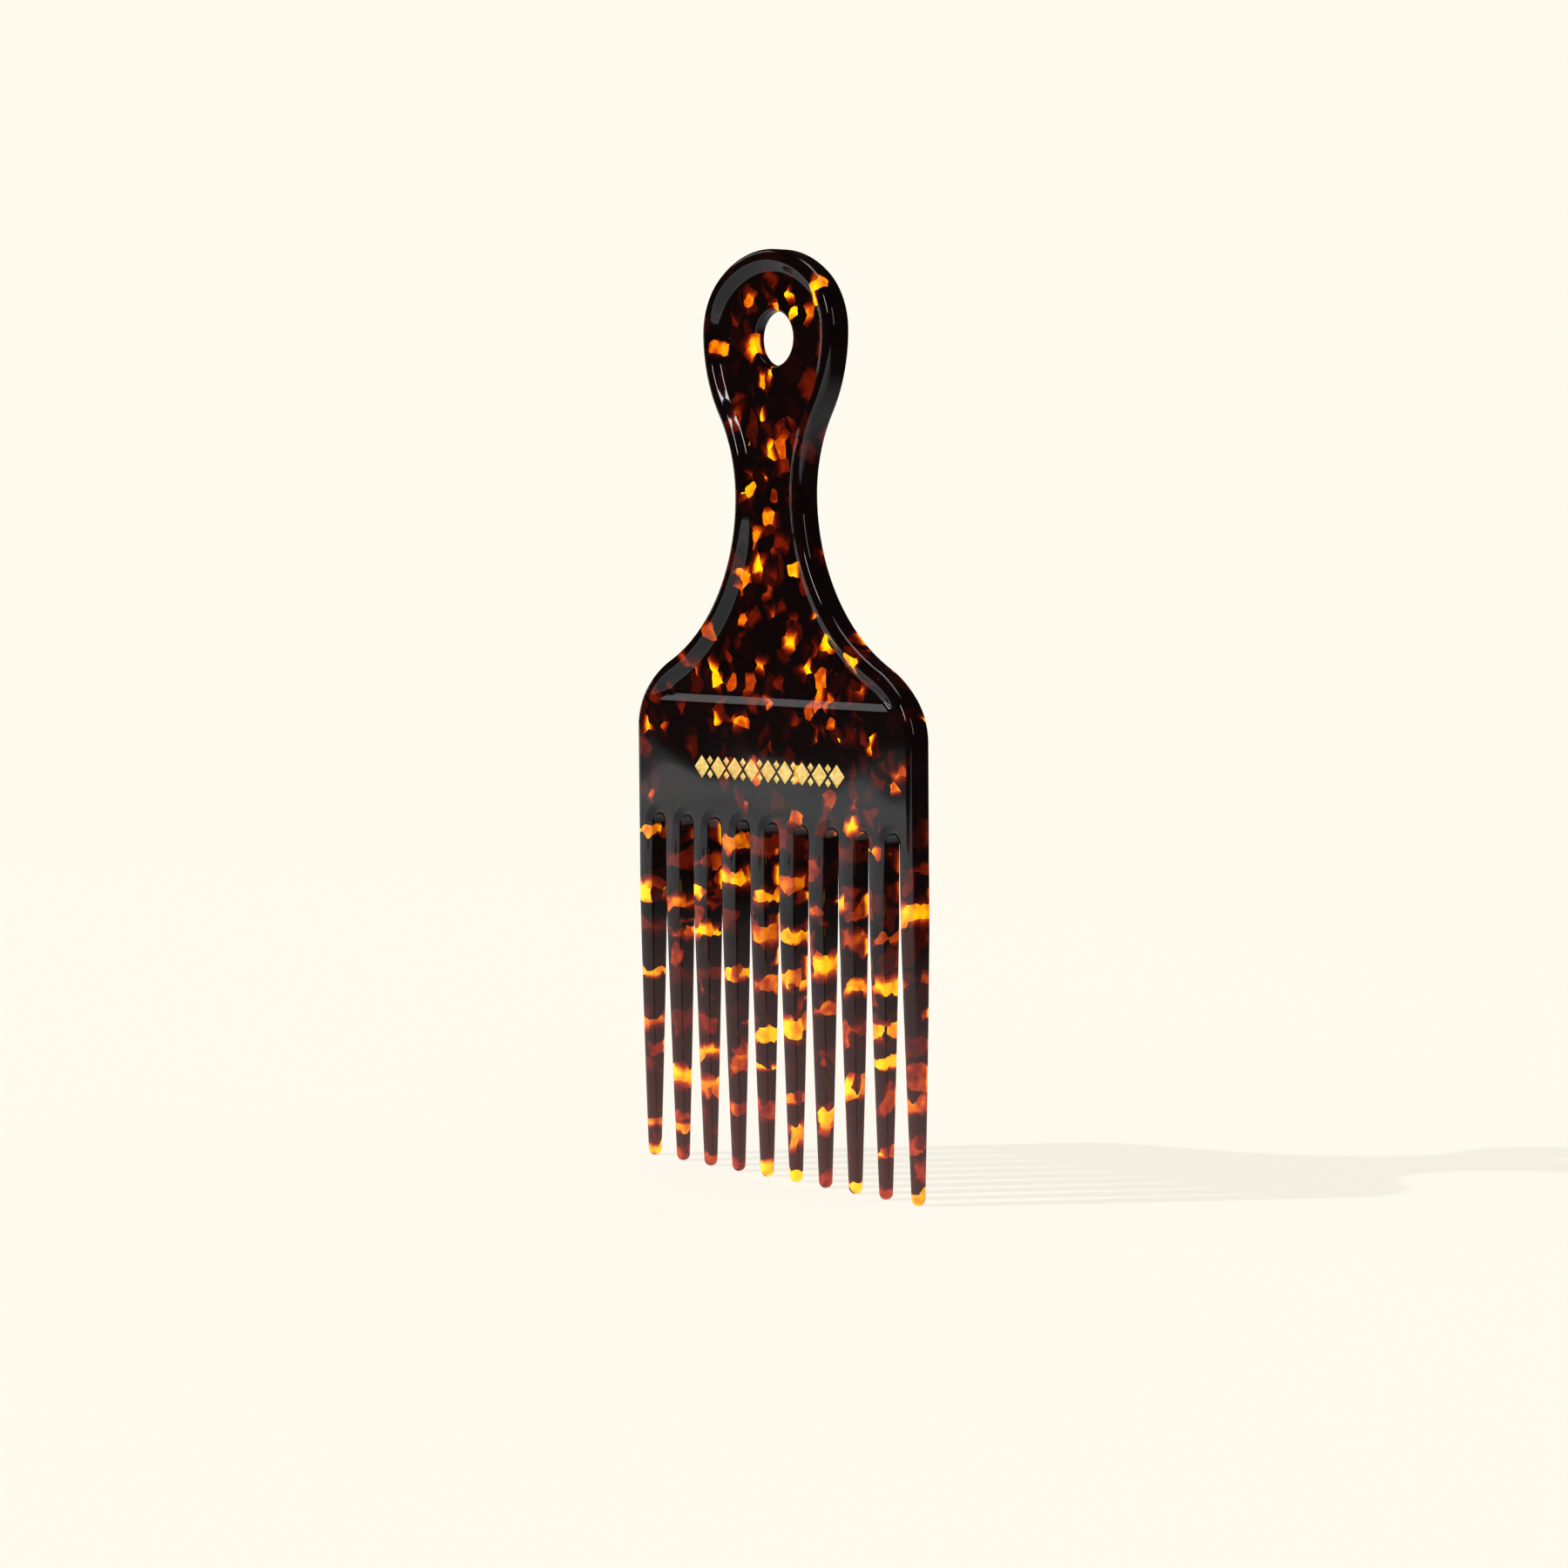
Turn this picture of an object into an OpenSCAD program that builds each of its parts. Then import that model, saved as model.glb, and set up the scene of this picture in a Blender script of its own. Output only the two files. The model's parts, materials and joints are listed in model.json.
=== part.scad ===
// Wide-tooth hair comb with a recessed, waisted handle, cut from one sheet of
// tortoiseshell acetate. It stands on its tooth tips: X runs across the width,
// Y through the sheet with the decorated face towards -Y, and Z up the handle.
// The origin is on the floor, under the middle of the row of tips.

/* [Overall size] */
// Length from the tooth tips to the top of the handle
comb_l = 165; // [163:0.5:168]
// Width of the head across the two outer teeth
head_w = 72; // [71:0.5:74]
// Thickness of the acetate sheet
sheet_t = 5; // [4.5:0.1:6]

/* [Handle outline] */
// Width of the bulb at the end of the handle
bulb_w = 33.8; // [33:0.2:36]
// Width of the handle at its waist
waist_w = 17.4; // [16:0.2:19]
// Radius over the top of the bulb
top_r = 19; // [18:0.5:22]
// Radius of the bulb's upper corners
bulb_r = 13; // [11:0.5:14]
// Radius of the bulb's lower sides
side_r = 27.6; // [25:0.2:30]
// Radius of the hollow between the bulb and the waist
neck_r = 26.4; // [25:0.2:30]
// Radius of the flare from the waist to the shoulders
flare_r = 33.3; // [32:0.1:35]
// Radius of the upper part of each shoulder
shoulder_r = 20; // [18:0.5:21]
// Radius of the lower part of each shoulder
corner_r = 12; // [10:0.5:14]
// Angle at which the shoulder changes radius
shoulder_a = 40; // [35:1:45]

/* [Recess and hole] */
// Width of the raised rim, to the middle of the recess wall
rim_w = 2.9; // [2.4:0.1:3.4]
// Depth of the recess on each face
recess_d = 1.3; // [1:0.1:1.5]
// Height of the recess's straight lower edge above the tips
recess_z = 85.6; // [84:0.2:88]
// Diameter of the hanging hole
hole_d = 9.6; // [8:0.2:10]
// Distance of the hanging hole to the right of the centre line
hole_x = 1; // [0:0.1:1.2]
// Height of the hanging hole above the tips
hole_z = 149.4; // [148:0.2:150]

/* [Teeth] */
// Number of teeth
tooth_n = 10; // [10]
// Distance from one slot to the next
tooth_pitch = 7.66; // [7.6:0.02:7.7]
// Width of each slot at its root
slot_w = 3.66; // [3.4:0.02:3.8]
// Height of the top of each slot above the tips
slot_top_z = 64; // [62:0.5:65]
// Width of each tooth at its tip
tip_w = 2.4; // [2.2:0.1:2.8]
// Thickness of each tooth at its tip
tip_t = 2.2; // [1.8:0.1:2.6]
// Height below which the teeth are ground thinner
taper_z = 48; // [44:1:52]
// Outward bow of the ground faces at their middle
crown = 0.1; // [0:0.05:0.2]

/* [Gold ornament] */
// Height of the middle of the ornament above the tips
foil_z = 73.3; // [72:0.1:74]
// Distance from the first lozenge's centre to the last one's
foil_span = 35.4; // [34:0.2:36]
// Number of large lozenges
foil_n = 9; // [7:1:9]
// Width of a large lozenge
foil_w = 3.9; // [3:0.1:4]
// Height of a large lozenge
foil_h = 4.2; // [3.5:0.1:4.5]
// Size of a small lozenge as a part of a large one's
foil_small = 0.4; // [0.3:0.05:0.45]
// Depth of the stamped pockets
stamp_d = 0.2; // [0.1:0.05:0.3]
// Thickness of the foil
foil_t = 0.06; // [0.05:0.01:0.08]

/* [Hidden] */
tooth_names = [for (i = [1:tooth_n]) str("tooth_", i < 10 ? "0" : "", i)];

shell_brown = [0.13, 0.05, 0.03];
shell_red = [0.35, 0.12, 0.04];
shell_amber = [0.75, 0.38, 0.06];
foil_gold = [0.86, 0.68, 0.33];

arc_steps = 14;
bow_steps = 6;
tip_step = 15;
round_fn = 48;
margin = 1;
web_t = sheet_t - 2 * recess_d;
slot_z = slot_top_z - slot_w / 2;
root_w = tooth_pitch - slot_w;
tip_r = tip_t / 2;
clip = 2 * comb_l;

// Angles at which the outline's arcs meet, which make the widths come out exact.
top_a = acos((bulb_w / 2 - bulb_r) / (top_r - bulb_r));
side_a = acos(1 - (bulb_w - waist_w) / 2 / (side_r + neck_r));
flare_x = waist_w / 2 + flare_r;
shoulder_x = head_w / 2 - corner_r + (corner_r - shoulder_r) * cos(shoulder_a);
flare_a = acos((flare_x - shoulder_x) / (flare_r + shoulder_r));

function ray(a) = [cos(a), sin(a)];

// Arc centres, from the top of the handle down its right side.
top_c = [0, comb_l - top_r];
bulb_c = top_c + (top_r - bulb_r) * ray(top_a);
side_c = [bulb_w / 2 - side_r, bulb_c.y];
neck_c = side_c + (side_r + neck_r) * ray(-side_a);
flare_c = [flare_x, neck_c.y];
shoulder_c = flare_c - (flare_r + shoulder_r) * ray(flare_a);
corner_c = shoulder_c + (shoulder_r - corner_r) * ray(shoulder_a);

function arc(centre, r, from, to) =
    [for (i = [0:arc_steps]) centre + r * ray(from + (to - from) * i / arc_steps)];

// The right side of the outline, moved inwards by inset: convex arcs shrink and
// hollow ones, drawn from their far side, grow.
function right_side(inset) = concat(
    arc(top_c, top_r - inset, 90, top_a),
    arc(bulb_c, bulb_r - inset, top_a, 0),
    arc(side_c, side_r - inset, 0, -side_a),
    arc(neck_c, neck_r + inset, 180 - side_a, 180),
    arc(flare_c, flare_r + inset, 180, 180 + flare_a),
    arc(shoulder_c, shoulder_r - inset, flare_a, shoulder_a),
    arc(corner_c, corner_r - inset, shoulder_a, 0));

function mirrored(points) = [for (i = [len(points) - 1:-1:0]) [-points[i].x, points[i].y]];

// The whole outline, closed by straight sides down to the slot roots. The first
// point lies on the centre line, and is left out of the mirrored half.
function outline(inset) =
    let (right = right_side(inset), side = head_w / 2 - inset)
    concat(right, [[side, slot_z], [-side, slot_z]],
        mirrored([for (i = [1:len(right) - 1]) right[i]]));

// A plate of the given thickness, centred in the sheet, from an outline in X and Z.
module plate(points, t) {
    rotate([90, 0, 0])
        linear_extrude(height = t, center = true)
            polygon(points);
}

// Everything between two heights.
module slab(low, high) {
    translate([-clip / 2, -clip / 2, low])
        cube([clip, clip, high - low]);
}

// Raised rim that follows the handle's outline on both faces.
module handle_rim() {
    color(shell_brown)
        difference() {
            intersection() {
                plate(outline(0), sheet_t);
                slab(recess_z, comb_l + margin);
            }
            plate(outline(rim_w), sheet_t + margin);
        }
}

// Thin web inside the rim, with the hanging hole through it.
module handle_panel() {
    color(shell_red)
        difference() {
            intersection() {
                plate(outline(rim_w), web_t);
                slab(recess_z, comb_l + margin);
            }
            translate([hole_x, 0, hole_z])
                rotate([90, 0, 0])
                    cylinder(h = sheet_t, d = hole_d, center = true, $fn = round_fn);
        }
}

// Solid band of the head that carries the teeth, arched at the slot roots.
module comb_back() {
    color(shell_brown)
        difference() {
            intersection() {
                plate(outline(0), sheet_t);
                slab(slot_z, recess_z);
            }
            for (i = [1:tooth_n - 1])
                translate([(i - tooth_n / 2) * tooth_pitch, 0, slot_z])
                    rotate([90, 0, 0])
                        cylinder(h = sheet_t + margin, d = slot_w, center = true, $fn = round_fn);
            lozenge_row(-1, stamp_d);
        }
}

// Front outline of one tooth: straight sides from the root to a round tip.
function tooth_front(root_left, root_right, tip_x) = concat(
    [[root_right, slot_z]],
    arc([tip_x, tip_w / 2], tip_w / 2, 0, -180),
    [[root_left, slot_z]]);

// Half the thickness of a tooth at height z, ground to a slightly bowed taper.
function half_t(z) =
    let (s = (z - tip_r) / (taper_z - tip_r))
    tip_r + (sheet_t / 2 - tip_r) * s + 4 * crown * s * (1 - s);

// One ground face of a tooth in side view, from the taper's start down to the tip.
function bow(sign) =
    [for (i = [0:bow_steps]) let (z = taper_z + (tip_r - taper_z) * i / bow_steps)
        [sign * half_t(z), z]];

function tooth_side() =
    let (front = bow(-1), back = bow(1))
    let (tip = [for (a = [-tip_step:-tip_step:tip_step - 180]) [0, tip_r] + tip_r * ray(a)])
    concat([[sheet_t / 2, slot_z]], back, tip,
        [for (i = [bow_steps:-1:0]) front[i]], [[-sheet_t / 2, slot_z]]);

// One tooth. The two outer teeth keep a straight outer edge in line with the head.
module tooth(i) {
    middle = (i - (tooth_n + 1) / 2) * tooth_pitch;
    edge = head_w / 2;
    left = i == 1 ? -edge : middle - root_w / 2;
    right = i == tooth_n ? edge : middle + root_w / 2;
    tip_x = i == 1 ? tip_w / 2 - edge : i == tooth_n ? edge - tip_w / 2 : middle;
    color(i % 2 == 0 ? shell_amber : shell_red)
        intersection() {
            plate(tooth_front(left, right, tip_x), sheet_t);
            rotate([90, 0, 90])
                linear_extrude(height = clip, center = true)
                    polygon(tooth_side());
        }
}

// One upright lozenge, filling the sheet between two depths under the front face.
module lozenge(x, z, size, from_d, to_d) {
    translate([x, (from_d + to_d - sheet_t) / 2, z])
        plate(size / 2 * [[foil_w, 0], [0, foil_h], [-foil_w, 0], [0, -foil_h]], to_d - from_d);
}

// A row of large lozenges, with a small one over and under each gap between them.
module lozenge_row(from_d, to_d) {
    step = foil_span / (foil_n - 1);
    rise = foil_h / 2 * (1 - foil_small);
    for (i = [0:foil_n - 1])
        lozenge(i * step - foil_span / 2, foil_z, 1, from_d, to_d);
    for (i = [1:foil_n - 1], side = [-1, 1])
        lozenge((i - 0.5) * step - foil_span / 2, foil_z + side * rise, foil_small, from_d, to_d);
}

// Gold foil pressed into the bottom of the stamped pockets.
module gold_foil() {
    color(foil_gold)
        lozenge_row(stamp_d - foil_t, stamp_d);
}

handle_rim();
handle_panel();
comb_back();
gold_foil();
for (i = [1:tooth_n]) tooth(i);
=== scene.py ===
import json
import math
import random

import bmesh
import bpy
import numpy as np
from mathutils import Matrix, Vector
from mathutils.geometry import delaunay_2d_cdt


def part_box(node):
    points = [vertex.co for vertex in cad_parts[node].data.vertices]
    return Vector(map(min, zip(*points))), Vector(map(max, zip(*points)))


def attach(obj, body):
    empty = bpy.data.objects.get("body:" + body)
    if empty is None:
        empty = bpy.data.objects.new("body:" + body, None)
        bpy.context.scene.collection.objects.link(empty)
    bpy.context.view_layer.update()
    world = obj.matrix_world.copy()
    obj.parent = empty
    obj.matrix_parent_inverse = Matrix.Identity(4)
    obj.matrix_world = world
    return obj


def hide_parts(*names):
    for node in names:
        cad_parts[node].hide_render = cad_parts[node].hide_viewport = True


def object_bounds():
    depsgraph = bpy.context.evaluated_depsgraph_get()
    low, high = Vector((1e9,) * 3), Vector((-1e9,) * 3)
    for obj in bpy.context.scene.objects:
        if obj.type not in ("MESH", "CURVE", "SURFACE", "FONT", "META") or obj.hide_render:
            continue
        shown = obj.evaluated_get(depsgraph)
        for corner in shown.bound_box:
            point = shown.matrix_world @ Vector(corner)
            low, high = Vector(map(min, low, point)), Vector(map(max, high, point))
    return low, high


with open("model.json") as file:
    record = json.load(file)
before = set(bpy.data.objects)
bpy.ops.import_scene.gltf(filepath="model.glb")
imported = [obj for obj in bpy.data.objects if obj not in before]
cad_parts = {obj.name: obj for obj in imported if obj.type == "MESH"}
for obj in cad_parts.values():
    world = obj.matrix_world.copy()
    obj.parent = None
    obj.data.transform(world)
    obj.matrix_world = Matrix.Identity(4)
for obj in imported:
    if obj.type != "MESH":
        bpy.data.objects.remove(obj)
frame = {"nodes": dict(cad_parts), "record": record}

cad_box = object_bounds()
mm = 0.001


# Camera. An 85 mm portrait lens on a full-frame body, a little above the middle
# of the comb and well round to its right, for a catalogue view.
def place_camera():
    turn, drop, roll = math.radians(47.5), math.radians(4.576), math.radians(-0.4814)
    distance, height, sidestep = 650.59 * mm, 122.99 * mm, 0.988 * mm
    forward = Vector((-math.sin(turn) * math.cos(drop), math.cos(turn) * math.cos(drop), -math.sin(drop)))
    right = Vector((math.cos(turn), math.sin(turn), 0))
    up = right.cross(forward)
    across = right * math.cos(roll) + up * math.sin(roll)
    data = bpy.data.cameras.new("camera")
    data.lens = 84.475
    data.sensor_width = 36
    data.clip_start = 0.01
    camera = bpy.data.objects.new("camera", data)
    place = Vector((math.sin(turn) * distance, -math.cos(turn) * distance, height)) + right * sidestep
    camera.matrix_world = Matrix((across, across.cross(forward), -forward)).transposed().to_4x4()
    camera.location = place
    bpy.context.scene.collection.objects.link(camera)
    bpy.context.scene.camera = camera


place_camera()
bpy.context.scene.view_settings.view_transform = "Standard"


# Studio. A sheet of cream paper on a table, under soft even light and one small
# hard lamp from the left, which throws the long pale shadow. The rest of the room
# is dark, and only the polished acetate sees it.
cream = (1.0, 0.956, 0.855)
room_grey, room_light = (0.05, 0.05, 0.052), 0.25
daylight = 0.55
paper_radius, paper_sides = 1.4, 96
paper_middle = (-0.25, -0.18)
wave_scale, wave_height = 7.0, 0.30

# The paper's light from the comb forwards, as the polished faces see it.
paper_stops = [(0.0, 0.46), (0.2, 0.62), (0.46, 0.80), (0.56, 1.1), (0.64, 0.86), (0.69, 1.1),
               (0.79, 1.1), (0.80, 0.40), (0.88, 0.28), (0.92, 0.03)]


def link(tree, source, target):
    tree.links.new(source, target)


def new_tree(holder):
    holder.use_nodes = True
    holder.node_tree.nodes.clear()
    return holder.node_tree


def node(tree, kind, values=None, **settings):
    """A shader node with its settings and its unlinked inputs."""
    made = tree.nodes.new(kind)
    for name, value in settings.items():
        setattr(made, name, value)
    for name, value in (values or {}).items():
        made.inputs[name].default_value = value
    return made


def colour_ramp(tree, stops):
    ramp = node(tree, "ShaderNodeValToRGB")
    elements = ramp.color_ramp.elements
    for place, _ in stops[2:]:
        elements.new(place)
    for element, (place, colour) in zip(elements, stops):
        element.position = place
        element.color = (*colour, 1)
    return ramp


def maths(tree, operation, first, second, clamp=False):
    """A maths node whose inputs are sockets or plain numbers."""
    made = node(tree, "ShaderNodeMath", operation=operation, use_clamp=clamp)
    for socket, value in zip(made.inputs, (first, second)):
        if isinstance(value, (int, float)):
            socket.default_value = value
        else:
            link(tree, value, socket)
    return made.outputs[0]


def noise(tree, place, scale, detail=3.0, roughness=0.55):
    made = node(tree, "ShaderNodeTexNoise", {"Scale": scale, "Detail": detail, "Roughness": roughness})
    link(tree, place, made.inputs["Vector"])
    return made


def ranged(tree, value, from_low, from_high, to_low=0.0, to_high=1.0, kind="LINEAR"):
    made = node(tree, "ShaderNodeMapRange", interpolation_type=kind)
    for socket, number in zip(list(made.inputs)[1:5], (from_low, from_high, to_low, to_high)):
        socket.default_value = number
    link(tree, value, made.inputs["Value"])
    return made.outputs[0]


def along(tree, place, direction):
    """How far a place lies along a direction."""
    made = node(tree, "ShaderNodeVectorMath", operation="DOT_PRODUCT")
    made.inputs[1].default_value = direction
    link(tree, place, made.inputs[0])
    return made.outputs["Value"]


def mixed_shaders(tree, share, first, second):
    mix = node(tree, "ShaderNodeMixShader")
    link(tree, share, mix.inputs[0])
    link(tree, first.outputs[0], mix.inputs[1])
    link(tree, second.outputs[0], mix.inputs[2])
    return mix


def studio_world():
    world = bpy.data.worlds.new("studio")
    tree = new_tree(world)
    path = node(tree, "ShaderNodeLightPath")
    seen = node(tree, "ShaderNodeBackground", {"Color": (*cream, 1)})
    soft = node(tree, "ShaderNodeBackground", {"Color": (1, 1, 1, 1), "Strength": daylight})
    room = node(tree, "ShaderNodeBackground", {"Color": (*room_grey, 1), "Strength": room_light})
    unseen = mixed_shaders(tree, path.outputs["Is Glossy Ray"], soft, room)
    either = mixed_shaders(tree, path.outputs["Is Camera Ray"], unseen, seen)
    out = node(tree, "ShaderNodeOutputWorld")
    link(tree, either.outputs[0], out.inputs[0])
    bpy.context.scene.world = world


def plain_paper(tree, place):
    """An even glow, with a little matt paper in it round the comb, so that shadows stay pale."""
    matt = node(tree, "ShaderNodeBsdfDiffuse", {"Color": (*cream, 1)})
    glow = node(tree, "ShaderNodeEmission", {"Color": (*cream, 1)})
    away = node(tree, "ShaderNodeVectorMath", operation="DISTANCE")
    away.inputs[1].default_value = (*paper_middle, 0)
    link(tree, place, away.inputs[0])
    fade = ranged(tree, away.outputs["Value"], 0.42, 0.70, 0.8, 1.0, "SMOOTHSTEP")
    return mixed_shaders(tree, fade, matt, glow)


def reflected_paper(tree, place):
    """What the polished faces see of the paper: it ends in a slanting, wavy edge well in front of the
    comb, and falls into shade a hand's breadth behind it."""
    waves = noise(tree, place, wave_scale, 1.0, 0.5).outputs["Fac"]
    ahead = along(tree, place, (-0.03, -1.38, 0))
    edge_line = maths(tree, "ADD", maths(tree, "MULTIPLY", waves, wave_height), ahead)
    front = colour_ramp(tree, [(at, (light * 0.95, light * 0.99, light)) for at, light in paper_stops])
    link(tree, maths(tree, "MULTIPLY", edge_line, 0.8), front.inputs[0])
    shade = ranged(tree, along(tree, place, (0.737, 0.676, 0)), 0.42, 0.12, 0.05, 1.0, "SMOOTHSTEP")
    shaded = node(tree, "ShaderNodeVectorMath", operation="SCALE")
    link(tree, front.outputs["Color"], shaded.inputs[0])
    link(tree, shade, shaded.inputs["Scale"])
    seen = node(tree, "ShaderNodeEmission")
    link(tree, shaded.outputs[0], seen.inputs["Color"])
    return seen


def paper_material():
    material = bpy.data.materials.new("cream_paper")
    tree = new_tree(material)
    place = node(tree, "ShaderNodeNewGeometry").outputs["Position"]
    path = node(tree, "ShaderNodeLightPath")
    plain, reflected = plain_paper(tree, place), reflected_paper(tree, place)
    either = mixed_shaders(tree, path.outputs["Is Glossy Ray"], plain, reflected)
    out = node(tree, "ShaderNodeOutputMaterial")
    link(tree, either.outputs[0], out.inputs[0])
    return material


def paper_floor():
    mesh = bpy.data.meshes.new("paper_floor")
    x, y = paper_middle
    turns = [2 * math.pi * i / paper_sides for i in range(paper_sides)]
    rim = [(x + paper_radius * math.cos(a), y + paper_radius * math.sin(a), 0) for a in turns]
    mesh.from_pydata(rim, [], [tuple(range(paper_sides))])
    mesh.materials.append(paper_material())
    floor = bpy.data.objects.new("paper_floor", mesh)
    bpy.context.scene.collection.objects.link(floor)


def small_lamp():
    data = bpy.data.lights.new("key_lamp", "SUN")
    data.energy = 2.1
    data.angle = math.radians(1.0)
    lamp = bpy.data.objects.new("key_lamp", data)
    travel = Vector((0.60, 0.775, -1))
    lamp.rotation_euler = travel.to_track_quat("-Z", "Y").to_euler()
    lamp.visible_glossy = False
    bpy.context.scene.collection.objects.link(lamp)


def soft_box(name, place, size, strength, aim=(0, 0, 90 * mm)):
    data = bpy.data.lights.new(name, "AREA")
    data.shape = "RECTANGLE"
    data.size, data.size_y = size
    data.energy = strength
    lamp = bpy.data.objects.new(name, data)
    lamp.location = place
    lamp.rotation_euler = (Vector(aim) - Vector(place)).to_track_quat("-Z", "Y").to_euler()
    lamp.visible_diffuse = False
    lamp.visible_camera = False
    bpy.context.scene.collection.objects.link(lamp)


studio_world()
paper_floor()
small_lamp()
soft_box("front_strip", (0.35, -1.2, 0.72), (0.14, 0.42), 3.0)
soft_box("left_bank", (-1.1, -0.25, 0.95), (0.45, 0.6), 0.9)
soft_box("left_strip", (-1.1, -0.18, 0.16), (0.05, 0.22), 0.2)
soft_box("right_bank", (1.15, 0.35, 0.55), (0.3, 0.5), 1.2)
soft_box("top_bank", (0.1, 0.3, 1.4), (0.9, 0.5), 4)


# Acetate comb. The whole comb is one piece of tortoiseshell acetate: milled from a
# 5 mm sheet, sunk on both faces inside the handle's rim, drilled, sawn and ground
# into teeth, and tumbled until every edge is round and glossy.
high = cad_box[1]
comb_l = high[2] / mm
edge = high[0] / mm
sheet_half = high[1] / mm
mounts = {mount["name"]: mount for mount in frame["record"]["mounts"]}
hole_x = mounts["hanging_hole"]["pos_m"][0] / mm
hole_z = mounts["hanging_hole"]["pos_m"][2] / mm
hole_r = mounts["hanging_hole"]["dims"]["r_mm"]
web_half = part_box("handle_panel")[1].y / mm
tooth_n = sum(name.startswith("tooth_") for name in frame["nodes"])
root_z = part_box("comb_back")[0].z / mm
root_w = (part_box("tooth_02")[1].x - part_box("tooth_02")[0].x) / mm
pitch = (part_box("tooth_03")[0].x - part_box("tooth_02")[0].x) / mm
slot_r = (pitch - root_w) / 2
tip_w, tip_r, taper_z, bow = 2.4, 1.1, 48, 0.1

bulb_w, waist_w = 33.8, 17.4
top_r, bulb_r, side_r, neck_r, flare_r = 19, 13, 27.6, 26.4, 33.3
shoulder_r, corner_r, shoulder_a = 20, 12, 40

edge_round = 1.2
flat_gap, tooth_gap, tooth_gap_rise = 0.12, 0.055, 0.065
crown_d, crown_flat, least_wall = 0.92, 0.11, 0.05
bevel_w, bevel_over, bevel_d, bevel_cut = 1.15, 0.45, 0.82, 0.55
tongue_z, crown_z = 61.5, 56.5

points = []
faces = []


def ray(angle):
    return np.array((math.cos(math.radians(angle)), math.sin(math.radians(angle))))


def arc(centre, radius, start, stop, steps):
    return [np.asarray(centre) + radius * ray(a) for a in np.linspace(start, stop, steps + 1)]


def handle_arcs():
    """Centre, radius, side, first and last angle of each arc, from the top down the right side."""
    top_a = math.degrees(math.acos((bulb_w / 2 - bulb_r) / (top_r - bulb_r)))
    side_a = math.degrees(math.acos(1 - (bulb_w - waist_w) / 2 / (side_r + neck_r)))
    flare_x = waist_w / 2 + flare_r
    shoulder_x = edge - corner_r + (corner_r - shoulder_r) * math.cos(math.radians(shoulder_a))
    flare_a = math.degrees(math.acos((flare_x - shoulder_x) / (flare_r + shoulder_r)))
    top = np.array((0, comb_l - top_r))
    bulb = top + (top_r - bulb_r) * ray(top_a)
    side = np.array((bulb_w / 2 - side_r, bulb[1]))
    neck = side + (side_r + neck_r) * ray(-side_a)
    flare = np.array((flare_x, neck[1]))
    shoulder = flare - (flare_r + shoulder_r) * ray(flare_a)
    corner = shoulder + (shoulder_r - corner_r) * ray(shoulder_a)
    return [(top, top_r, -1, 90, top_a), (bulb, bulb_r, -1, top_a, 0), (side, side_r, -1, 0, -side_a),
            (neck, neck_r, 1, 180 - side_a, 180), (flare, flare_r, 1, 180, 180 + flare_a),
            (shoulder, shoulder_r, -1, flare_a, shoulder_a), (corner, corner_r, -1, shoulder_a, 0)]


def handle_side(inset, spacing=0.7):
    """The handle's right side, moved inwards by inset, from the top down to the head's straight edge."""
    line = []
    for centre, radius, sign, start, stop in handle_arcs():
        steps = max(4, round(math.radians(abs(stop - start)) * radius / spacing))
        line += arc(centre, radius + sign * inset, start, stop, steps)[(1 if line else 0):]
    return line


def half_thickness(z):
    """Half the thickness at height z: full in the head and handle, ground to a bowed taper in the teeth."""
    s = np.clip((np.asarray(z, float) - tip_r) / (taper_z - tip_r), 0, 1)
    return tip_r + (sheet_half - tip_r) * s + 4 * bow * s * (1 - s)


def smooth(low_end, high_end, value):
    t = np.clip((value - low_end) / (high_end - low_end), 0, 1)
    return t * t * (3 - 2 * t)


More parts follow.
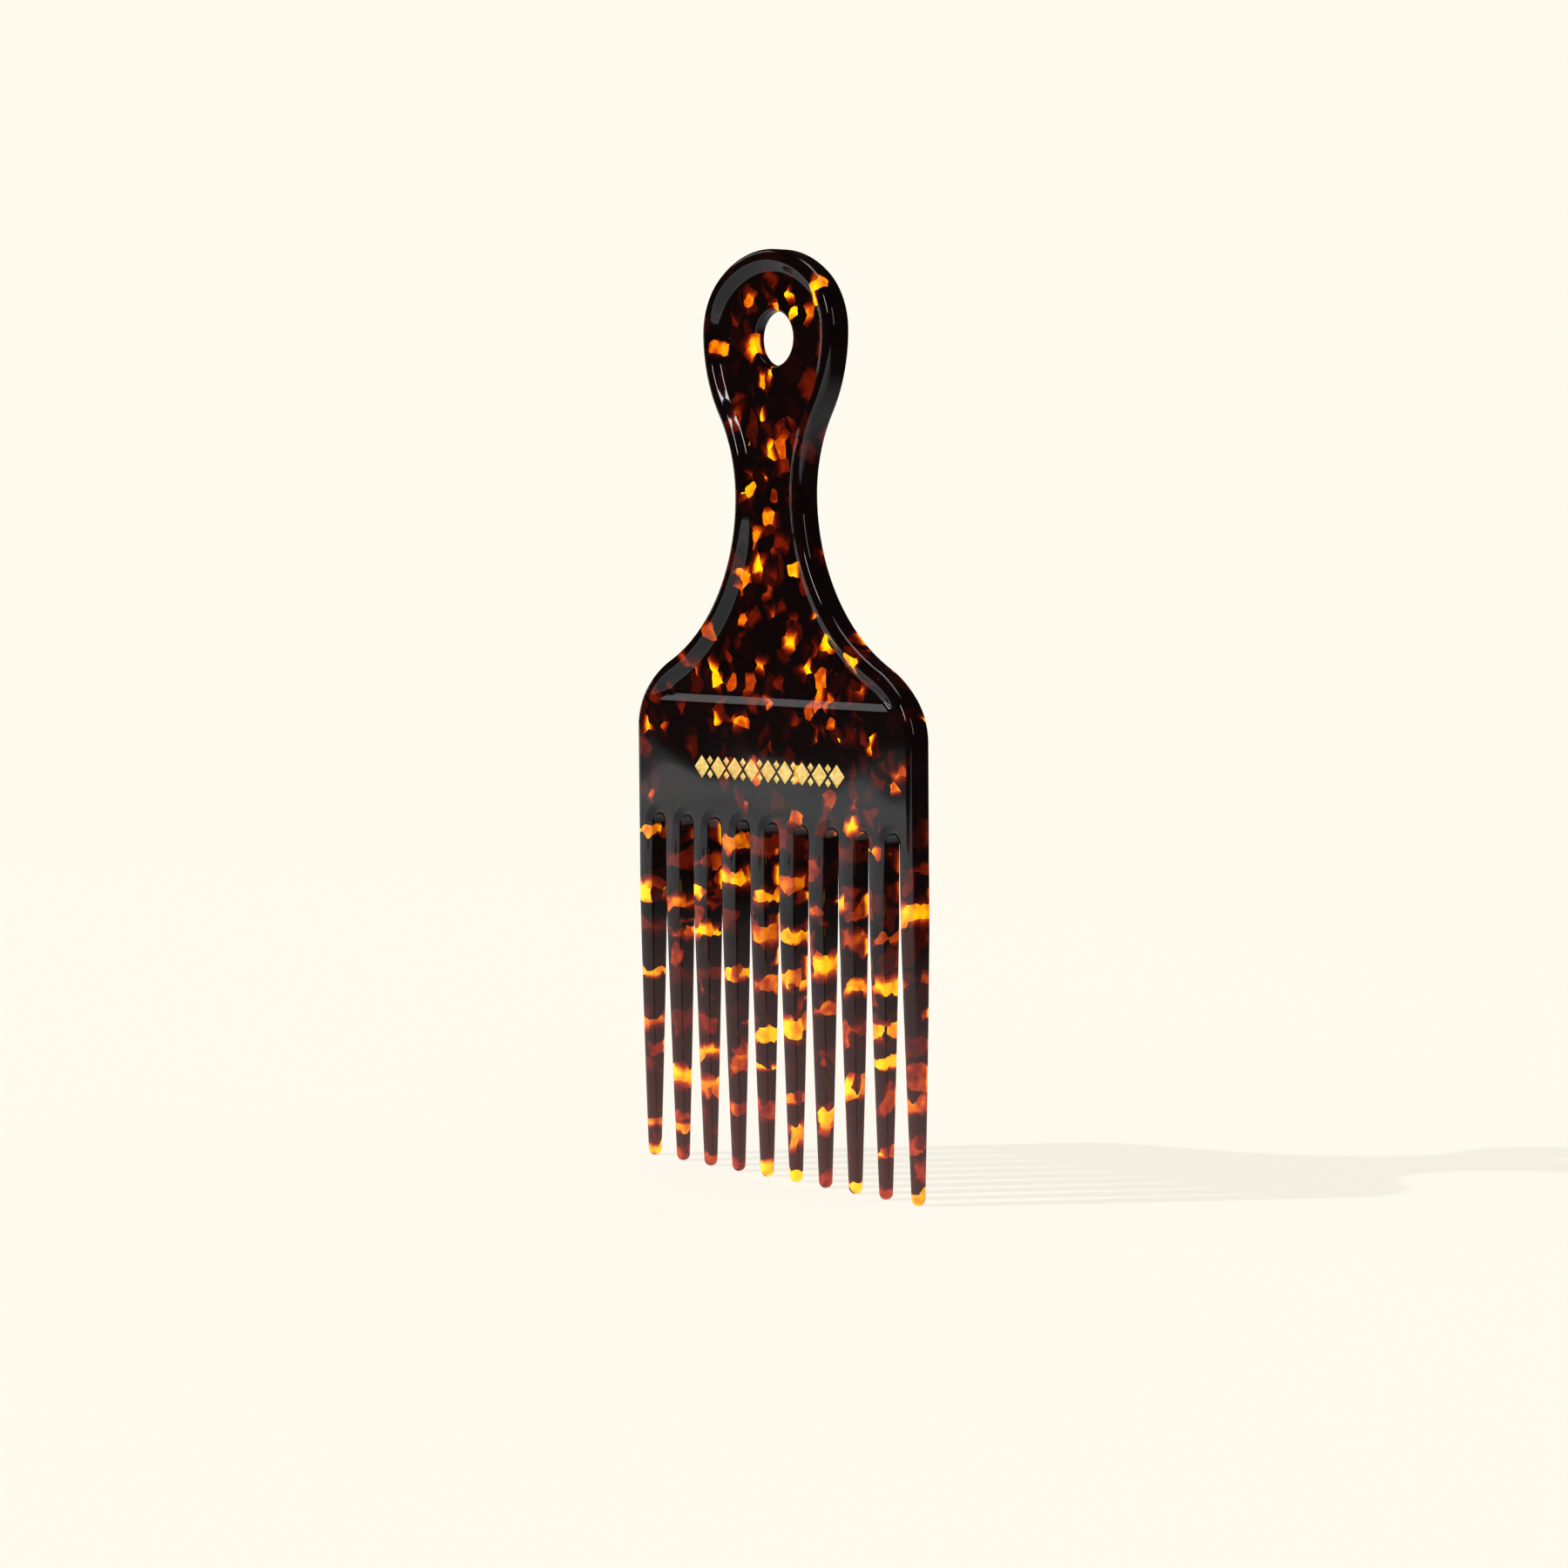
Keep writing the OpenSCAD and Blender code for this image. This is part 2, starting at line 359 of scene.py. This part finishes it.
def comb_outline():
    """The whole outline clockwise from the top. Each row holds x, z, the width and depth of the rounding
    along the edge, and how far that rounding is a plain cut instead of a curve."""
    rows = []

    def side_row(point, half_w, cut):
        x, z = point
        crowned = 1 - smooth(crown_z, tongue_z, z)
        inner = bevel_w if cut else edge_round
        width = inner + (half_w - crown_flat - inner) * crowned
        full = bevel_d if cut else edge_round
        deep = min(full + (crown_d - full) * crowned, half_thickness(z) - least_wall)
        rows.append((x, z, width, deep, bevel_cut * (1 - crowned) if cut else 0))

    right = handle_side(0)
    rows.extend((p[0], p[1], edge_round, edge_round, 0) for p in right)
    heights = np.linspace(root_z, tip_w / 2, 42)
    for z in np.arange(right[-1][1] - 2, root_z + 1, -2):
        rows.append((edge, z, edge_round, edge_round, 0))
    for tooth in range(tooth_n, 0, -1):
        middle = (tooth - (tooth_n + 1) / 2) * pitch
        root_right = edge if tooth == tooth_n else middle + root_w / 2
        root_left = -edge if tooth == 1 else middle - root_w / 2
        tip_x = edge - tip_w / 2 if tooth == tooth_n else tip_w / 2 - edge if tooth == 1 else middle
        span = (heights - tip_w / 2) / (root_z - tip_w / 2)
        half_w = tip_w / 2 + ((root_right - root_left) / 2 - tip_w / 2) * span
        for z, t, half in zip(heights, span, half_w):
            x = tip_x + tip_w / 2 + (root_right - tip_x - tip_w / 2) * t
            side_row((x, z), half, tooth != tooth_n)
        for p in arc((tip_x, tip_w / 2), tip_w / 2, 0, -180, 16)[1:-1]:
            side_row(p, tip_w / 2, False)
        for z, t, half in zip(heights[::-1], span[::-1], half_w[::-1]):
            x = tip_x - tip_w / 2 + (root_left - tip_x + tip_w / 2) * t
            side_row((x, z), half, tooth != 1)
        if tooth > 1:
            slot = middle - pitch / 2
            for a in np.linspace(0, 180, 21)[1:-1]:
                x, z = np.array((slot, root_z)) + slot_r * ray(a)
                over = bevel_over * math.sin(math.radians(a)) ** 2
                rows.append((x, z, bevel_w + over, bevel_d, bevel_cut))
    for z in np.arange(right[-1][1] - 2, root_z + 1, -2)[::-1]:
        rows.append((-edge, z, edge_round, edge_round, 0))
    rows.extend((-p[0], p[1], edge_round, edge_round, 0) for p in right[:0:-1])
    return np.array(rows)


def add_ring(flat, y):
    """Adds a ring of points, given in x and z, at depth y, and returns their numbers."""
    start = len(points)
    y = np.broadcast_to(y, len(flat))
    points.extend((p[0], float(d), p[1]) for p, d in zip(flat, y))
    return list(range(start, len(points)))


def strip(ring, other):
    n = len(ring)
    faces.extend((ring[i], ring[(i + 1) % n], other[(i + 1) % n], other[i]) for i in range(n))


def join(rings):
    for ring, other in zip(rings, rings[1:]):
        strip(ring, other)


def fill(*loops):
    """Triangles inside the first ring and outside the others."""
    index = [i for loop in loops for i in loop]
    flat = np.array([(points[i][0], points[i][2]) for i in index])
    edges = []
    for loop in loops:
        start = len(edges)
        edges += [(start + j, start + (j + 1) % len(loop)) for j in range(len(loop))]
    _, _, tris, origin, _, _ = delaunay_2d_cdt([Vector(p) for p in flat], edges, [], 1, 1e-7)
    tris = np.array([[origin[v][0] for v in tri] for tri in tris])
    x, z = flat[tris].mean(axis=1).T
    crossings = np.zeros(len(tris), int)
    for a, b in edges:
        (ax, az), (bx, bz) = flat[a], flat[b]
        if az != bz:
            crossings += ((az > z) != (bz > z)) & (x < ax + (z - az) / (bz - az) * (bx - ax))
    faces.extend(tuple(index[v] for v in tri) for tri in tris[crossings % 2 == 1])


def edge_rings(rows, face):
    """The rounding from the side wall onto one face, then a narrow flat ring. face is -1 or 1."""
    flat = rows[:, :2]
    along = np.roll(flat, -1, axis=0) - np.roll(flat, 1, axis=0)
    along /= np.linalg.norm(along, axis=1)[:, None]
    inward = np.c_[along[:, 1], -along[:, 0]]
    width, deep, cut = rows[:, 2], rows[:, 3], rows[:, 4]
    wall = half_thickness(flat[:, 1]) - deep
    rings = [add_ring(flat, face * 0.8 * wall)]
    for turn in np.radians(np.linspace(0, 90, 9)):
        place = flat + inward * (width * (1 - math.cos(turn)))[:, None]
        drop = (1 - cut) * deep * (1 - math.sin(turn)) + cut * deep * math.cos(turn)
        rings.append(add_ring(place, face * (half_thickness(place[:, 1]) - drop)))
    in_teeth = tooth_gap + tooth_gap_rise * smooth(crown_z, tongue_z, flat[:, 1])
    gap = np.where(flat[:, 1] < root_z, np.minimum(flat_gap, in_teeth), flat_gap)
    place = flat + inward * (width + gap)[:, None]
    rings.append(add_ring(place, face * half_thickness(place[:, 1])))
    return rings


recess_lip, recess_foot = 2.1, 3.7
lip_round, foot_round = 0.25, 0.3
lip_end, foot_start = recess_lip + lip_round, recess_foot - foot_round
lip_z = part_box("handle_panel")[0].z / mm - (recess_foot - recess_lip) / 2
recess_d = sheet_half - web_half
recess_insets = (
    recess_lip - lip_round - flat_gap,
    *np.linspace(recess_lip - lip_round, lip_end, 5),
    (lip_end + foot_start) / 2,
    *np.linspace(foot_start, recess_foot + foot_round, 5),
    recess_foot + foot_round + flat_gap,
)


def recess_depth(inset):
    """Depth across the sloped wall, rounded at its lip and at its foot."""
    slope = recess_d / (recess_foot - recess_lip)
    if inset < lip_end:
        return slope * max(0, inset - recess_lip + lip_round) ** 2 / (4 * lip_round)
    if inset > foot_start:
        return recess_d - slope * max(0, recess_foot + foot_round - inset) ** 2 / (4 * foot_round)
    return slope * (inset - recess_lip)


def along_line(line, lengths):
    line = np.asarray(line)
    steps = np.r_[0, np.cumsum(np.linalg.norm(np.diff(line, axis=0), axis=1))]
    return np.c_[np.interp(lengths, steps, line[:, 0]), np.interp(lengths, steps, line[:, 1])], steps[-1]


def recess_loop(inset):
    """The recess's outline at one inset: the handle's curve, closed by a straight lower edge with round
    corners."""
    bottom = lip_z + inset - recess_lip
    line = np.array(handle_side(inset, 0.4))
    above = line[line[:, 1] > bottom]
    after = line[len(above)]
    t = (above[-1, 1] - bottom) / (above[-1, 1] - after[1])
    corner = above[-1] + (after - above[-1]) * t
    line = np.vstack((above, corner))
    _, length = along_line(line, [0])
    cut = 3.0 - 0.35 * (inset - recess_lip)
    side, _ = along_line(line, np.linspace(0, length - cut, 90))
    start, stop = side[-1], corner - np.array((cut, 0))
    bend = [start * (1 - t) ** 2 + 2 * corner * t * (1 - t) + stop * t ** 2
            for t in np.linspace(0, 1, 13)[1:-1]]
    base = [(x, bottom) for x in np.linspace(stop[0], 0, 25)]
    right = np.vstack((side, bend, base))
    left = right[-2:0:-1] * (-1, 1)
    return np.vstack((right, left))


def recess_rings(face):
    return [add_ring(recess_loop(inset), face * (sheet_half - recess_depth(inset)))
            for inset in recess_insets]


def hole_rings():
    """The hole's rounded wall, from the front panel to the back one."""
    turns = np.linspace(0, 360, 65)[:-1]
    rim = 0.5
    profile = [(hole_r + rim + flat_gap, web_half)]
    profile += [(hole_r + rim * (1 - math.sin(a)), web_half - rim * (1 - math.cos(a)))
                for a in np.linspace(0, math.pi / 2, 6)]
    profile += [(hole_r, 0.25)]
    profile = [(r, -y) for r, y in profile] + [(r, y) for r, y in profile[::-1]]
    return [add_ring([np.array((hole_x, hole_z)) + r * ray(a) for a in turns], y) for r, y in profile]


foil_low, foil_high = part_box("gold_foil")
foil_z = (foil_low.z + foil_high.z) / 2 / mm
stamp_d = sheet_half + foil_high.y / mm
lozenge_n, lozenge_w, lozenge_small = 9, 3.9, 0.4
lozenge_h = (foil_high.z - foil_low.z) / mm
pocket_profile = ((0.1, 0), (0.03, 0.0), (0.0, 0.03), (-0.1, stamp_d), (-0.14, stamp_d))
lozenge_step = ((foil_high.x - foil_low.x) / mm - lozenge_w) / (lozenge_n - 1)


def lozenges():
    """Centre and size of each lozenge: a large row, with small ones over and under its gaps."""
    first = -lozenge_step * (lozenge_n - 1) / 2
    rise = lozenge_h / 2 * (1 - lozenge_small)
    row = [(first + i * lozenge_step, foil_z, 1.0) for i in range(lozenge_n)]
    row += [(first + (i + 0.5) * lozenge_step, foil_z + side * rise, lozenge_small)
            for i in range(lozenge_n - 1) for side in (-1, 1)]
    return row


def lozenge_loop(x, z, size, grow):
    """A lozenge's corners and edges, each edge moved out by grow."""
    w, h = lozenge_w / 2, lozenge_h / 2
    scale = size + grow * math.hypot(w, h) / (w * h)
    corners = [(0, h), (w, 0), (0, -h), (-w, 0)]
    loop = []
    for a, b in zip(corners, corners[1:] + corners[:1]):
        for t in (0.03, 0.5, 0.97):
            loop.append((x + scale * (a[0] * (1 - t) + b[0] * t), z + scale * (a[1] * (1 - t) + b[1] * t)))
    return loop


def stamped_pockets():
    """The pockets' walls and floors, and the rings at their rims."""
    rims = []
    for x, z, size in lozenges():
        rings = [add_ring(lozenge_loop(x, z, size, grow), -sheet_half + deep)
                 for grow, deep in pocket_profile]
        join(rings)
        faces.append(tuple(rings[-1]))
        rims.append(rings[0])
    return rims


def build_acetate():
    rows = comb_outline()
    front, back = edge_rings(rows, -1), edge_rings(rows, 1)
    join(front[::-1] + back)
    hole = hole_rings()
    join(hole)
    front_recess, back_recess = recess_rings(-1), recess_rings(1)
    join(front_recess)
    join(back_recess)
    fill(front[-1], front_recess[0], *stamped_pockets())
    fill(back[-1], back_recess[0])
    fill(front_recess[-1], hole[0])
    fill(back_recess[-1], hole[-1])
    return make_piece("acetate_comb", points, faces)


def make_piece(name, places, polygons):
    """A smooth mesh object from points in millimetres, with its faces turned outwards."""
    mesh = bpy.data.meshes.new(name)
    mesh.from_pydata([tuple(c * mm for c in p) for p in places], [], polygons)
    mesh.update()
    work = bmesh.new()
    work.from_mesh(mesh)
    bmesh.ops.recalc_face_normals(work, faces=work.faces)
    work.to_mesh(mesh)
    work.free()
    mesh.shade_smooth()
    piece = bpy.data.objects.new(name, mesh)
    bpy.context.scene.collection.objects.link(piece)
    return piece


shell_stops = [
    (0.0, (0.0026, 0.0009, 0.0008)),
    (0.20, (0.010, 0.0012, 0.0008)),
    (0.38, (0.038, 0.0022, 0.0008)),
    (0.55, (0.13, 0.0075, 0.0010)),
    (0.70, (0.44, 0.052, 0.0015)),
    (0.82, (0.90, 0.24, 0.002)),
    (0.95, (1.0, 0.56, 0.002)),
]

thin_brown = (0.055, 0.019, 0.016)
dust_grey = (0.35, 0.33, 0.3)
draws = random.Random(2)


def chip_light():
    """How bright the next chip is: a third are clear amber, a third orange and a third dark red."""
    return draws.choice((draws.uniform(0.88, 1.0), draws.uniform(0.6, 0.85), draws.uniform(0.4, 0.58)))


def front_chips():
    """The chips near the front face: loose rows of them, most small and a few large, with fewer in the
    head than in the panel and few on the rim."""
    side = handle_side(0)
    for z in np.arange(66, comb_l - 6, 4.3):
        in_head = z < lip_z
        reach = edge - 3 if in_head else np.interp(-z, [-p[1] for p in side], [p[0] for p in side]) - 4.5
        across = 5.0 if in_head else 4.4
        kept = 0.34 if z < 76 else 0.6 if in_head else 0.72
        for x in np.arange(-reach, reach + 0.1, across):
            place = x + draws.uniform(-1.7, 1.7), z + draws.uniform(-1.8, 1.8)
            size = draws.triangular(0.5, 2.2, 0.7), draws.triangular(0.7, 2.8, 1.1)
            light = chip_light()
            if draws.random() < kept:
                yield (*place, *size, light)


def tooth_chips():
    """The chips that the teeth are cut through: one in every tip, then one every centimetre or so."""
    for i in range(tooth_n):
        middle = (i - (tooth_n - 1) / 2) * pitch
        yield middle, 1.2, 2.6, draws.uniform(1.2, 2.0), draws.choice((1.0, 1.0, 0.95, 0.7))
        z = draws.uniform(6, 13)
        while z < root_z:
            high = draws.uniform(0.7, 2.6)
            yield middle + draws.uniform(-1.2, 2), z, 2.6, high, chip_light()
            z += high + draws.uniform(4, 10)


def chip_group():
    """One flat-sided chip: brightest in its middle, with a soft rim, laid over the chips already there."""
    group = bpy.data.node_groups.new("amber chip", "ShaderNodeTree")
    for name, kind in (("Place", "NodeSocketVector"), ("Middle", "NodeSocketVector"),
                       ("Across", "NodeSocketVector"), ("Along", "NodeSocketVector"),
                       ("Brightness", "NodeSocketFloat"), ("Under", "NodeSocketFloat")):
        group.interface.new_socket(name, in_out="INPUT", socket_type=kind)
    group.interface.new_socket("Chips", in_out="OUTPUT", socket_type="NodeSocketFloat")
    inputs = node(group, "NodeGroupInput")
    output = node(group, "NodeGroupOutput")
    offset = node(group, "ShaderNodeVectorMath", operation="SUBTRACT")
    link(group, inputs.outputs["Place"], offset.inputs[0])
    link(group, inputs.outputs["Middle"], offset.inputs[1])
    sizes = []
    for name in ("Across", "Along"):
        part = node(group, "ShaderNodeVectorMath", operation="DOT_PRODUCT")
        size = node(group, "ShaderNodeMath", operation="ABSOLUTE")
        link(group, offset.outputs[0], part.inputs[0])
        link(group, inputs.outputs[name], part.inputs[1])
        link(group, part.outputs["Value"], size.inputs[0])
        sizes.append(size)
    far = node(group, "ShaderNodeMath", operation="MAXIMUM")
    link(group, sizes[0].outputs[0], far.inputs[0])
    link(group, sizes[1].outputs[0], far.inputs[1])
    light = node(group, "ShaderNodeMapRange", {"From Min": 2.05, "From Max": 0.6})
    link(group, far.outputs[0], light.inputs["Value"])
    link(group, inputs.outputs["Brightness"], light.inputs["To Max"])
    over = node(group, "ShaderNodeMath", operation="MAXIMUM")
    link(group, light.outputs[0], over.inputs[0])
    link(group, inputs.outputs["Under"], over.inputs[1])
    link(group, over.outputs[0], output.inputs[0])
    return group


def laid_chips(tree, group, place, chips, turn):
    """A chain of chips over one another, each turned a little; the chips' light, from 0 to 1."""
    lit = None
    for i, (x, z, wide, high, light) in enumerate(chips):
        angle = math.radians(turn * ((i * 0.618) % 1 * 2 - 1))
        chip = node(tree, "ShaderNodeGroup", node_tree=group)
        link(tree, place, chip.inputs["Place"])
        chip.inputs["Middle"].default_value = (x, 0, z)
        chip.inputs["Across"].default_value = (math.cos(angle) / wide, 0, math.sin(angle) / wide)
        chip.inputs["Along"].default_value = (-math.sin(angle) / high, 0, math.cos(angle) / high)
        chip.inputs["Brightness"].default_value = 0.42 + 0.58 * light
        if lit:
            link(tree, lit, chip.inputs["Under"])
        lit = chip.outputs[0]
    return ranged(tree, lit, 0.42, 1.0)


def shifted(tree, place, shift, amount):
    """A place moved by a share of a vector."""
    scaled = node(tree, "ShaderNodeVectorMath", {"Scale": amount}, operation="SCALE")
    link(tree, shift, scaled.inputs[0])
    moved = node(tree, "ShaderNodeVectorMath", operation="ADD")
    link(tree, place, moved.inputs[0])
    link(tree, scaled.outputs[0], moved.inputs[1])
    return moved.outputs[0]


def subtracted(tree, first, second):
    made = node(tree, "ShaderNodeVectorMath", operation="SUBTRACT")
    link(tree, first, made.inputs[0])
    if isinstance(second, tuple):
        made.inputs[1].default_value = second
    else:
        link(tree, second, made.inputs[1])
    return made.outputs[0]


def voronoi(tree, place, scale, feature="F1"):
    made = node(tree, "ShaderNodeTexVoronoi", {"Scale": scale, "Randomness": 1.0}, feature=feature)
    link(tree, place, made.inputs["Vector"])
    return made


def stirred(tree, place, scale, amount):
    """A place moved about by noise."""
    shift = subtracted(tree, noise(tree, place, scale).outputs["Color"], (0.5, 0.5, 0.5))
    return shifted(tree, place, shift, amount)


def mixed_colours(tree, share, first, second, blend="MIX"):
    """A plain colour laid over a varying one."""
    made = node(tree, "ShaderNodeMix", data_type="RGBA", blend_type=blend)
    sockets = {socket.identifier: socket for socket in made.inputs}
    sockets["B_Color"].default_value = (*second, 1)
    link(tree, share, sockets["Factor_Float"])
    link(tree, first, sockets["A_Color"])
    return {socket.identifier: socket for socket in made.outputs}["Result_Color"]


def near_chips(tree, place, depth):
    """The chips near the front and those in the teeth, with ragged, angular edges: places are drawn
    towards the middles of small cells."""
    ragged = stirred(tree, place, 0.4, 1.1)
    cells = voronoi(tree, ragged, 0.42)
    drawn = shifted(tree, ragged, subtracted(tree, cells.outputs["Position"], ragged), 0.6)
    group = chip_group()
    front = laid_chips(tree, group, drawn, front_chips(), 35)
    front = maths(tree, "MULTIPLY", front, ranged(tree, depth, 0.6, -0.2))
    return maths(tree, "MAXIMUM", front, laid_chips(tree, group, drawn, tooth_chips(), 14))


def deep_chips(tree, place, depth, height):
    """The dim chips deep in the sheet, and the bright ones that reach only the back face."""
    squash = node(tree, "ShaderNodeMapping", {"Scale": (0.27, 0.16, 0.21), "Location": (3.1, 0.4, 1.7)})
    link(tree, stirred(tree, place, 0.16, 5.0), squash.inputs["Vector"])
    chance = node(tree, "ShaderNodeSeparateColor")
    link(tree, voronoi(tree, squash.outputs[0], 1.0).outputs["Color"], chance.inputs[0])
    rim = voronoi(tree, squash.outputs[0], 1.0, "DISTANCE_TO_EDGE").outputs["Distance"]
    deep = maths(tree, "MULTIPLY", ranged(tree, chance.outputs[0], 0.45, 0.9),
                 ranged(tree, rim, 0.0, 0.2, kind="SMOOTHSTEP"))
    back = maths(tree, "MAXIMUM", ranged(tree, depth, 0.2, 1.6, 0.47, 1.05),
                 ranged(tree, height, 64, 54, 0.0, 0.64))
    return maths(tree, "MULTIPLY", deep, back)


def shell_tone(tree, place):
    """The colour of the sheet, whose ground turns a lighter brown towards the teeth's thin ends."""
    through = node(tree, "ShaderNodeSeparateXYZ")
    link(tree, place, through.inputs[0])
    depth, height = through.outputs["Y"], through.outputs["Z"]
    chips = near_chips(tree, place, depth)
    lit = maths(tree, "MAXIMUM", chips, deep_chips(tree, place, depth, height))
    cloud = noise(tree, place, 0.4, 1.5).outputs["Fac"]
    streak = maths(tree, "MULTIPLY", ranged(tree, cloud, 0.32, 0.68, -0.12, 0.05),
                   maths(tree, "ADD", lit, 0.25))
    ramp = colour_ramp(tree, shell_stops)
    link(tree, maths(tree, "ADD", lit, streak, clamp=True), ramp.inputs[0])
    return mixed_colours(tree, ranged(tree, height, 46, 4), ramp.outputs[0], thin_brown, "LIGHTEN")


def shell_material():
    """Pressed chips of amber and brown acetate under a polished surface, which is very slightly wavy,
    with fine dust and faint wiping marks."""
    material = bpy.data.materials.new("tortoiseshell_acetate")
    tree = new_tree(material)
    coords = node(tree, "ShaderNodeTexCoord")
    scale = node(tree, "ShaderNodeMapping", {"Scale": (1 / mm, 1 / mm, 1 / mm)})
    link(tree, coords.outputs["Object"], scale.inputs["Vector"])
    place = scale.outputs[0]
    tone = shell_tone(tree, place)

    waves = node(tree, "ShaderNodeBump", {"Strength": 1.0, "Distance": 0.00022})
    link(tree, noise(tree, place, 0.045, 1.0).outputs["Fac"], waves.inputs["Height"])
    specks = voronoi(tree, place, 0.85)
    pick = node(tree, "ShaderNodeSeparateColor")
    link(tree, specks.outputs["Color"], pick.inputs[0])
    dust = maths(tree, "MULTIPLY", ranged(tree, specks.outputs["Distance"], 0.075, 0.03),
                 ranged(tree, pick.outputs[0], 0.86, 0.9, 0.0, 0.6))
    wipe = noise(tree, place, 2.5, 5.0, 0.7).outputs["Fac"]
    rough = maths(tree, "ADD", ranged(tree, wipe, 0.3, 0.8, 0.035, 0.065),
                  maths(tree, "MULTIPLY", dust, 0.5))

    # The sheet also glows in its own colours (Emission Color is the tone): a painted glow that stands in
    # for light shining through the amber chips.
    shader = node(tree, "ShaderNodeBsdfPrincipled", {"IOR": 1.49, "Emission Strength": 0.55})
    link(tree, mixed_colours(tree, dust, tone, dust_grey), shader.inputs["Base Color"])
    link(tree, tone, shader.inputs["Emission Color"])
    link(tree, rough, shader.inputs["Roughness"])
    link(tree, waves.outputs[0], shader.inputs["Normal"])
    out = node(tree, "ShaderNodeOutputMaterial")
    link(tree, shader.outputs[0], out.inputs[0])
    return material


acetate_comb = build_acetate()
acetate_comb.data.materials.append(shell_material())
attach(acetate_comb, "root")
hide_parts(*[name for name in frame["nodes"] if name != "gold_foil"])


# Gold ornament. Metallised stamping foil, pressed into shallow pockets in the
# head's front face by a hot die, so that each lozenge has a turned-up edge.
def build_foil():
    """A thin cup of foil in each pocket: its front, its back, and the two flat ends that close them."""
    foil_points, foil_faces = [], []
    thickness, bed = 0.05, stamp_d - 0.06
    profile = ((-0.02, 0.012), (-0.06, 0.02), (-0.26, bed), (-0.32, bed))
    cap = len(profile) - 1
    for x, z, size in lozenges():
        loops = [(lozenge_loop(x, z, size, grow), deep) for grow, deep in profile]
        loops += [(lozenge_loop(x, z, size, grow), deep + thickness) for grow, deep in profile[:0:-1]]
        start = len(foil_points)
        for loop, deep in loops:
            foil_points += [(p[0], -sheet_half + deep, p[1]) for p in loop]
        n = len(loops[0][0])
        for k in range(len(loops)):
            if k == cap:
                continue
            a, b = start + k * n, start + (k + 1) % len(loops) * n
            foil_faces += [(a + i, a + (i + 1) % n, b + (i + 1) % n, b + i) for i in range(n)]
        foil_faces.append(tuple(start + cap * n + i for i in range(n)))
        foil_faces.append(tuple(start + (cap + 1) * n + i for i in range(n)))
    return make_piece("stamped_foil", foil_points, foil_faces)


def foil_material():
    material = bpy.data.materials.new("gold_foil")
    tree = new_tree(material)
    coords = node(tree, "ShaderNodeTexCoord")
    grain = node(tree, "ShaderNodeTexNoise", {"Scale": 1500.0, "Detail": 3.0, "Roughness": 0.6})
    link(tree, coords.outputs["Object"], grain.inputs["Vector"])
    tone = colour_ramp(tree, [(0.35, (0.78, 0.46, 0.10)), (0.62, (1.0, 0.76, 0.27))])
    link(tree, grain.outputs["Fac"], tone.inputs[0])
    rough = node(tree, "ShaderNodeMapRange", {"To Min": 0.22, "To Max": 0.45})
    link(tree, grain.outputs["Fac"], rough.inputs["Value"])
    bump = node(tree, "ShaderNodeBump", {"Strength": 0.25, "Distance": 0.00005})
    link(tree, grain.outputs["Fac"], bump.inputs["Height"])
    # The foil also glows in its own gold tone: a painted glow that makes it brighter than the lamps alone
    # would.
    shader = node(tree, "ShaderNodeBsdfPrincipled", {"Metallic": 0.8, "Emission Strength": 0.46})
    link(tree, tone.outputs[0], shader.inputs["Base Color"])
    link(tree, tone.outputs[0], shader.inputs["Emission Color"])
    link(tree, rough.outputs[0], shader.inputs["Roughness"])
    link(tree, bump.outputs[0], shader.inputs["Normal"])
    out = node(tree, "ShaderNodeOutputMaterial")
    link(tree, shader.outputs[0], out.inputs[0])
    return material


stamped_foil = build_foil()
stamped_foil.data.materials.append(foil_material())
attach(stamped_foil, "root")
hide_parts("gold_foil")
